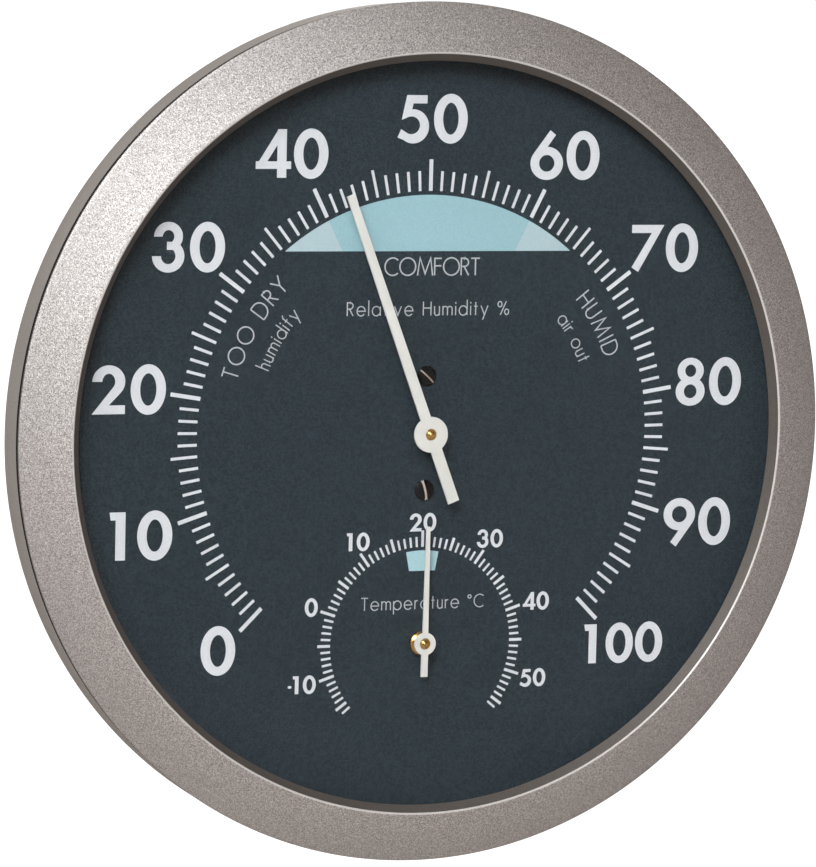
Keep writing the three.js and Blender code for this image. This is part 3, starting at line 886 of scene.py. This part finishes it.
def digit_shapes():
    """Heavy geometric digits, cap height 100: digit to (left edge, right edge, following space, shapes)."""
    six = ring_band(37.7, 32.9, (37.7, 35.1), (17.7, 17.7)) + [
        [(44.6, 103), (57.6, 93.1), (36.8, 65.4), (16.9, 51.5), (6.8, 53.1)]
    ]
    five = [(19.9, 98.7), (65.8, 98.7), (65.8, 81.4), (34.6, 81.4), (31.6, 68.8)]
    five += arc(35.1, 33.3, 35.5, 35.7, 95, -127, 30) + [(0, 10), (7.8, 27.3)]
    five += arc(30.7, 35.5, 19.5, 18.6, -130, 118, 26) + [(8.7, 46.8)]
    two = [(61.5, 43.7), (36.4, 18.2), (71.4, 18.2), (71.4, 0), (0, 0), (46.3, 56.3)]
    three = [(32, 61.5), (40.7, 61), (55, 51.9), (44.2, 44.6), (32, 44.6)]
    four = [
        rectangle(47.2, 0, 67.5, 100.4), rectangle(0, 18.2, 77.9, 33.8),
        [(49.4, 100.4), (67.5, 100.4), (47.2, 67.5), (25.1, 33.8), (14.9, 18.2), (0, 18.2), (0, 22.9)],
    ]
    seven = [(0, 99.1), (75.8, 99.1), (16.5, -1.7), (0.9, 8.2), (46.8, 81.8), (0, 81.8)]
    return {
        "0": (76.6, 6, ring_band(38.3, 50, (38.3, 52.2), (17.7, 33.5), steps=64)),
        "1": (34.6, 26, [[(0, 100), (34.6, 100), (34.6, 0), (13.4, 0), (13.4, 83.5), (2.5, 83.5)]]),
        "2": (71.4, 12, ring_band(35.9, 67.1, (35.5, 33.8), (13.9, 16.5), 180, -43.8) + [two]),
        "3": (70.2, 12, ring_band(35.1, 71.9, (31.2, 30.3), (12.6, 13.4), 180, -62)
              + ring_band(35.1, 31.6, (35.1, 33.8), (15.8, 16.5), 55, -180) + [three]),
        "4": (77.9, 6, four),
        "5": (70.6, 11, [five]),
        "6": (75.4, 8, six),
        "7": (75.8, 5, [seven]),
        "8": (69.2, 10, ring_band(34.6, 73.6, (31.2, 28.1), (13, 13.4))
              + ring_band(34.6, 29, (34.6, 31.2), (15.2, 15))),
        "9": (75.4, 8, [[(75.4 - x, 100 - z) for x, z in shape] for shape in six]),
        "-": (20.0, 8, [rectangle(0, 33, 20, 47)]),
    }


DIGITS = digit_shapes()


def number(text, x, z, height):
    """A number centred on x, z, as triangulated areas."""
    scale = height / 100
    width = sum(DIGITS[c][0] + DIGITS[c][1] for c in text) - DIGITS[text[-1]][1]
    areas, pen_x = [], -width / 2
    for character in text:
        advance, space, shapes = DIGITS[character]
        areas.append(united(moved(shapes, x + pen_x * scale, z - 50 * scale, scale)))
        pen_x += advance + space
    return areas


# The pen's width and the small letters' height, for a cap height of 100.
LETTER_WEIGHT = 8
X_HEIGHT = 68


def letter_paths():
    """Thin geometric letters as pen lines, cap height 100: letter to (width, paths)."""
    stem = [(0, 0), (0, 100)]
    small_stem = [(0, 0), (0, X_HEIGHT)]
    bowl = arc(31, 34, 31, 34, 0, 360, 32)
    arch = arc(18, 46, 18, 19, 180, 0, 14) + [(36, 0)]
    small_circle = arc(0, 0, 16, 20, 0, 360, 20)
    return {
        "C": (78, [arc(47, 50, 47, 49, 48, 312, 36)]),
        "D": (70, [stem, [(0, 100)] + arc(24, 50, 46, 50, 90, -90, 24) + [(0, 0)]]),
        "F": (42, [stem, [(0, 96), (42, 96)], [(0, 54), (40, 54)]]),
        "H": (60, [stem, [(60, 0), (60, 100)], [(0, 54), (60, 54)]]),
        "I": (0, [stem]),
        "M": (92, [[(0, 0), (14, 98), (46, 10), (78, 98), (92, 0)]]),
        "O": (96, [arc(48, 50, 48, 49, 0, 360, 44)]),
        "R": (48, [stem, [(0, 96), (20, 96)] + arc(20, 73, 24, 23, 90, -90, 16) + [(0, 50)],
                   [(18, 50), (46, 0)]]),
        "T": (54, [[(27, 0), (27, 100)], [(0, 96), (54, 96)]]),
        "U": (56, [[(0, 100), (0, 30)] + arc(28, 30, 28, 29, 180, 360, 18) + [(56, 100)]]),
        "Y": (64, [[(0, 100), (32, 48)], [(64, 100), (32, 48), (32, 0)]]),
        "a": (62, [bowl, [(62, 0), (62, X_HEIGHT)]]),
        "d": (62, [bowl, [(62, 0), (62, 112)]]),
        "e": (62, [[(2, 34)] + arc(31, 34, 31, 34, 0, 322, 30)]),
        "f": (30, [[(12, 0), (12, 90)] + arc(28, 90, 16, 18, 180, 90, 8), [(0, 64), (28, 64)]]),
        "h": (36, [[(0, 0), (0, 112)], arch]),
        "i": (0, [small_stem, [(0, 84), (0, 96)]]),
        "l": (0, [[(0, 0), (0, 112)]]),
        "m": (72, [small_stem, arch, [(x + 36, z) for x, z in arch]]),
        "o": (66, [arc(33, 34, 33, 34, 0, 360, 32)]),
        "p": (62, [[(0, -34), (0, X_HEIGHT)], bowl]),
        "r": (22, [small_stem, arc(19, 44, 19, 21, 180, 75, 10)]),
        "t": (26, [[(12, 0), (12, 96)], [(0, 64), (26, 64)]]),
        "u": (38, [[(0, X_HEIGHT), (0, 20)] + arc(19, 20, 19, 20, 180, 360, 16), [(38, 0), (38, X_HEIGHT)]]),
        "v": (54, [[(0, X_HEIGHT), (27, 3), (54, X_HEIGHT)]]),
        "y": (52, [[(0, X_HEIGHT), (27, 4)], [(54, X_HEIGHT), (14, -34)]]),
        "%": (86, [[(x + 16, z + 78) for x, z in small_circle], [(x + 70, z + 22) for x, z in small_circle],
                   [(66, 100), (20, 0)]]),
        "\u00b0": (26, [arc(13, 84, 13, 13, 0, 360, 20)]),
        " ": (26, []),
    }


LETTERS = letter_paths()


def word_layout(text, height, tracking):
    """(character, left edge, right edge) in millimetres, centred on zero."""
    scale = height / 100
    places, pen_x = [], 0
    for character in text:
        width = LETTERS[character][0]
        places.append((character, pen_x * scale, (pen_x + width) * scale))
        pen_x += width + tracking
    half = places[-1][2] / 2
    return [(character, left - half, right - half) for character, left, right in places]


def letter_shapes(character):
    """The quads of a letter's pen lines, cap height 100."""
    return [quad for path in LETTERS[character][1] for quad in pen(path, LETTER_WEIGHT)]


def straight_word(text, x, z, height, tracking):
    """A level line of letters centred on x with its baseline at z."""
    areas = []
    for character, left, _ in word_layout(text, height, tracking):
        if LETTERS[character][1]:
            areas.append(united(moved(letter_shapes(character), x + left, z, height / 100)))
    return areas


def curved_word(text, radius, angle, height, tracking):
    """Letters standing on a circle round the dial's centre, the word's middle at a clockwise angle."""
    areas = []
    for character, left, right in word_layout(text, height, tracking):
        if not LETTERS[character][1]:
            continue
        middle = (left + right) / 2
        turn = angle + middle / radius * 180 / pi
        foot = polar(radius, turn)
        scale = height / 100
        centred = moved(letter_shapes(character), -(right - left) / 2, 0, scale)
        areas.append(united(moved(centred, *foot, turn=turn)))
    return areas


def tick(centre, inner, outer, width, angle):
    """One radial mark, as a list of one shape."""
    return moved([rectangle(-width / 2, inner, width / 2, outer)], *centre, turn=angle)


def printed(name, areas, material, low=-PRINT_HEIGHT):
    """Ink as a thin layer that stands just clear of the dial's face."""
    return raised(name, areas, low, -PRINT_GAP, material, "case")


def humidity_scale():
    """Ticks each percent from 0 to 100, longer each 5, longer and wider each 10."""
    areas = []
    for percent in range(101):
        angle = (percent - PERCENT_TOP) * PERCENT_ANGLE
        end, width = 39.98, 0.43
        if percent % 5 == 0:
            end = 41.15
        if percent % 10 == 0:
            end, width = 41.73, 0.61
        areas.append(united(tick((0, 0), SCALE_ROOT, end, width, angle)))
    printed("humidity_ticks", areas, INK)


def temperature_scale():
    """Ticks each degree from -16 to 56, longer each 5, longer and wider each 10."""
    areas = []
    for celsius in range(-16, 57):
        angle = (celsius - CELSIUS_TOP) * CELSIUS_ANGLE
        end, width = 16.4, 0.34
        if celsius % 5 == 0:
            end, width = 16.9, 0.43
        if celsius % 10 == 0:
            end, width = 17.35, 0.43
        areas.append(united(tick(THERMOMETER, SMALL_SCALE_ROOT, end, width, angle)))
    printed("temperature_ticks", areas, INK)


# Where each number's middle stands: clockwise angle from the top, and radius.
HUMIDITY_NUMBERS = {
    "0": (-134.5, 46.2), "10": (-107.8, 47.8), "20": (-81.3, 48.3), "30": (-53.7, 48.1), "40": (-28.0, 48.1),
    "50": (0.1, 47.9), "60": (27.6, 47.9), "70": (54.5, 48.6), "80": (81.3, 48.3), "90": (107.6, 48.7),
    "100": (134.3, 47.9),
}
HUMIDITY_NUMBER_HEIGHT = 7.23
HUNDRED_HEIGHT = 6.12

TEMPERATURE_NUMBERS = {
    "-10": (-106.7, 20.15), "0": (-71.5, 19.0), "10": (-33.8, 19.07), "20": (0.0, 18.6), "30": (35.3, 19.4),
    "40": (72.9, 20.1), "50": (107.7, 19.9),
}
TEMPERATURE_NUMBER_HEIGHT = 2.74


def numbers():
    """The numbers of both scales."""
    areas = []
    for text, (angle, radius) in HUMIDITY_NUMBERS.items():
        height = HUNDRED_HEIGHT if text == "100" else HUMIDITY_NUMBER_HEIGHT
        areas += number(text, *polar(radius, angle), height)
    printed("humidity_numbers", areas, INK)
    areas = []
    for text, (angle, radius) in TEMPERATURE_NUMBERS.items():
        x, z = polar(radius, angle)
        areas += number(text, x + THERMOMETER[0], z + THERMOMETER[1], TEMPERATURE_NUMBER_HEIGHT)
    printed("temperature_numbers", areas, INK)


def comfort_areas():
    """Blue segment over 40 to 60 percent, paler to its ends, and a blue patch from 17 to 23 degrees."""
    radius, chord = 36.36, 27.8
    middle = 10 * PERCENT_ANGLE
    end = 180 / pi * atan2((radius**2 - chord**2) ** 0.5, chord)

    def part(start, stop):
        """The segment's stretch between two angles, from the chord up to the arc."""
        upper = [polar(radius, a) for a in spread(start, stop, 24)]
        lower = [(chord * tan(radians(a)), chord) for a in (stop, start)]
        return upper + lower

    printed("comfort_segment", [united([part(-middle, middle)])], COMFORT_INK, -PATCH_HEIGHT)
    pale = [united([part(-end + 0.01, -middle)]), united([part(middle, end - 0.01)])]
    printed("comfort_segment_ends", pale, PALE_INK, -PATCH_HEIGHT)
    reach, inner, half = 14.3, 11.15, 3 * CELSIUS_ANGLE
    patch = [polar(reach, a) for a in spread(-half, half, 12)]
    patch += [(inner * tan(radians(a)), inner) for a in (half, -half)]
    printed("comfort_patch", [united(moved([patch], *THERMOMETER))], PATCH_INK, -PATCH_HEIGHT)


def words():
    """Generic scale wording in thin letters."""
    areas = straight_word("COMFORT", 0.6, 24.1, 2.7, 12)
    areas += straight_word("Relative Humidity %", 0.1, 18.0, 2.1, 28)
    areas += straight_word("Temperature \u00b0C", 0.25, -27.05, 2.0, 26)
    areas += curved_word("TOO DRY", 31.85, -60, 2.65, 27)
    areas += curved_word("HUMID", 31.85, 60, 2.65, 27)
    areas += curved_word("humidify", 27.5, -59, 2.1, 24)
    areas += curved_word("air out", 27.5, 59.5, 2.1, 22)
    printed("scale_words", areas, THIN_INK)


# ---------------------------------------------------------------- carried-over CAD nodes

CARRIED = {
    "dial_plate": DIAL, "spacer_ring": SPACER,
    "humidity_spindle": STEEL, "humidity_collet": BRASS, "humidity_bush": BRASS, "humidity_coil": SENSOR,
    "movement_plate": BRASS, "movement_bridge": BRASS, "pillar_left": STEEL, "pillar_right": STEEL,
    "bridge_screw_left": SCREW_STEEL, "bridge_screw_right": SCREW_STEEL,
    "regulator": BRASS, "regulator_washer": STEEL,
    "temperature_spindle": STEEL, "temperature_collet": BRASS, "temperature_nut": BRASS,
    "temperature_bracket": STEEL, "bimetal_coil": BIMETAL, "coil_stud": STEEL,
}


def carry_over():
    """Gives the CAD nodes that stay their materials and smooth shading."""
    for node, material in CARRIED.items():
        mesh = frame["nodes"][node].data
        mesh.materials.clear()
        mesh.materials.append(material)
        shade(mesh)


# ---------------------------------------------------------------- light, floor and camera


def softbox(name, direction, distance, size, power, tint=(1, 1, 1)):
    """A square area light at a distance from the dial's centre, facing it."""
    lamp = bpy.data.lights.new(name, "AREA")
    lamp.shape = "RECTANGLE"
    lamp.size, lamp.size_y = size
    lamp.energy = power
    lamp.color = tint
    light = in_scene(name, lamp)
    away = Vector(direction).normalized()
    light.location = DIAL_CENTRE + away * distance
    light.rotation_euler = away.to_track_quat("Z", "Y").to_euler()


def world():
    """White behind the object, and a soft warm room that is brightest in front of the dial and low."""
    scene_world = bpy.data.worlds.new("studio")
    bpy.context.scene.world = scene_world
    scene_world.use_nodes = True
    tree = scene_world.node_tree
    tree.nodes.clear()
    direction = tree.nodes.new("ShaderNodeTexCoord").outputs["Generated"]
    side = tree.nodes.new("ShaderNodeVectorMath")
    side.operation = "DOT_PRODUCT"
    side.inputs[1].default_value = (0.0, -0.86, -0.50)
    tint = (1.0, 0.91, 0.875, 1)
    tree.links.new(direction, side.inputs[0])
    room = tree.nodes.new("ShaderNodeMapRange")
    for socket, value in (("From Min", -0.08), ("From Max", 1.0), ("To Min", 0.2), ("To Max", 0.55)):
        room.inputs[socket].default_value = value
    tree.links.new(side.outputs["Value"], room.inputs["Value"])
    lit = tree.nodes.new("ShaderNodeBackground")
    lit.inputs["Color"].default_value = tint
    tree.links.new(room.outputs["Result"], lit.inputs["Strength"])
    white = tree.nodes.new("ShaderNodeBackground")
    white.inputs["Color"].default_value = (1, 1, 1, 1)
    white.inputs["Strength"].default_value = 1.05
    path = tree.nodes.new("ShaderNodeLightPath")
    mix = tree.nodes.new("ShaderNodeMixShader")
    tree.links.new(path.outputs["Is Camera Ray"], mix.inputs[0])
    tree.links.new(lit.outputs["Background"], mix.inputs[1])
    tree.links.new(white.outputs["Background"], mix.inputs[2])
    output = tree.nodes.new("ShaderNodeOutputWorld")
    tree.links.new(mix.outputs["Shader"], output.inputs["Surface"])


def floor():
    """A wide pale floor well below the object, which hangs. It glows only for the camera."""
    n = Nodes("pale_floor")
    cloud = n.noise(400, 2)
    material = n.finish(
        colour=n.blend(cloud, colour(242, 242, 241), colour(248, 248, 247)), roughness=0.8, specular=0.1
    )
    seen = n.add("ShaderNodeLightPath").outputs["Is Camera Ray"]
    glow = n.add("ShaderNodeMapRange", {"Value": seen, "To Max": 1.1})
    n.shader.inputs["Emission Color"].default_value = (1, 1, 1, 1)
    n.set(n.shader.inputs["Emission Strength"], glow.outputs["Result"])
    reach, drop, steps = 30.0, 0.30, 48
    mesh = bpy.data.meshes.new("floor")
    rim = [(reach * cos(2 * pi * i / steps), reach * sin(2 * pi * i / steps), 0) for i in range(steps)]
    mesh.from_pydata(rim, [], [tuple(range(steps))])
    mesh.materials.append(material)
    plane = in_scene("floor", mesh)
    plane.location = (0, 0, DIAL_CENTRE.z - CASE_RADIUS * MM - drop)
    # Kept out of the pane's reflections and refractions, where its far edge would draw a line.
    plane.visible_glossy = False
    plane.visible_transmission = False


def camera():
    """Long lens from the left and a little above, rolled slightly."""
    azimuth, elevation, roll = radians(-22.55), radians(5.83), radians(1.325)
    distance, aim_right, aim_up = 0.7111, -0.00252, -0.00008
    back = Vector((sin(azimuth) * cos(elevation), -cos(azimuth) * cos(elevation), sin(elevation)))
    level = Vector((0, 0, 1)).cross(back).normalized()
    upright = back.cross(level)
    right = level * cos(roll) + upright * sin(roll)
    up = upright * cos(roll) - level * sin(roll)
    lens = bpy.data.cameras.new("camera")
    lens.lens = 192.5
    lens.sensor_width = 36
    lens.clip_start, lens.clip_end = 0.01, 100
    view = in_scene("camera", lens)
    turn = Matrix((right, up, back)).transposed().to_4x4()
    spot = DIAL_CENTRE + back * distance + right * aim_right + up * aim_up
    view.matrix_world = Matrix.Translation(spot) @ turn
    bpy.context.scene.camera = view


# ---------------------------------------------------------------- everything together

camera()
world()
floor()
softbox("rear", (0.55, 0.75, 0.45), 1.2, (0.7, 0.7), 4.0, (1.0, 0.98, 0.96))
softbox("key", (-0.47, -0.70, 0.54), 1.1, (0.35, 0.35), 7.8, (0.97, 1.0, 1.02))

bpy.context.scene.view_settings.view_transform = "Standard"
bpy.context.scene.view_settings.look = "None"

face_ring()
case_band()
rear_cover()
for screw in COVER_SCREWS:
    cover_screw(screw)
pane()
dial_screw("dial_screw_upper", 42, 0.2)
dial_screw("dial_screw_lower", 76, 0.34)
pointer(
    "humidity_pointer_blade", "humidity_pointer", "humidity_hand", (0.0, 0.0),
    blade=39.1, tail=11.2, widths=(1.75, 1.28, 1.85), disc=2.74, hole=0.91, turn=-21,
)
boss("humidity_boss", "humidity_hand", (0.0, 0.0), pin=0.86, shoulder=1.5, shoulder_y=-2.1)
pointer(
    "temperature_pointer_blade", "temperature_pointer", "temperature_hand", THERMOMETER,
    blade=18.1, tail=5.1, widths=(0.92, 0.58, 1.06), disc=1.74, hole=0.89, turn=0.4,
)
boss("temperature_boss", "temperature_hand", THERMOMETER, pin=0.84, shoulder=1.25, shoulder_y=-1.65)
thermometer_bush()
humidity_scale()
temperature_scale()
numbers()
comfort_areas()
words()
carry_over()

bpy.context.view_layer.update()
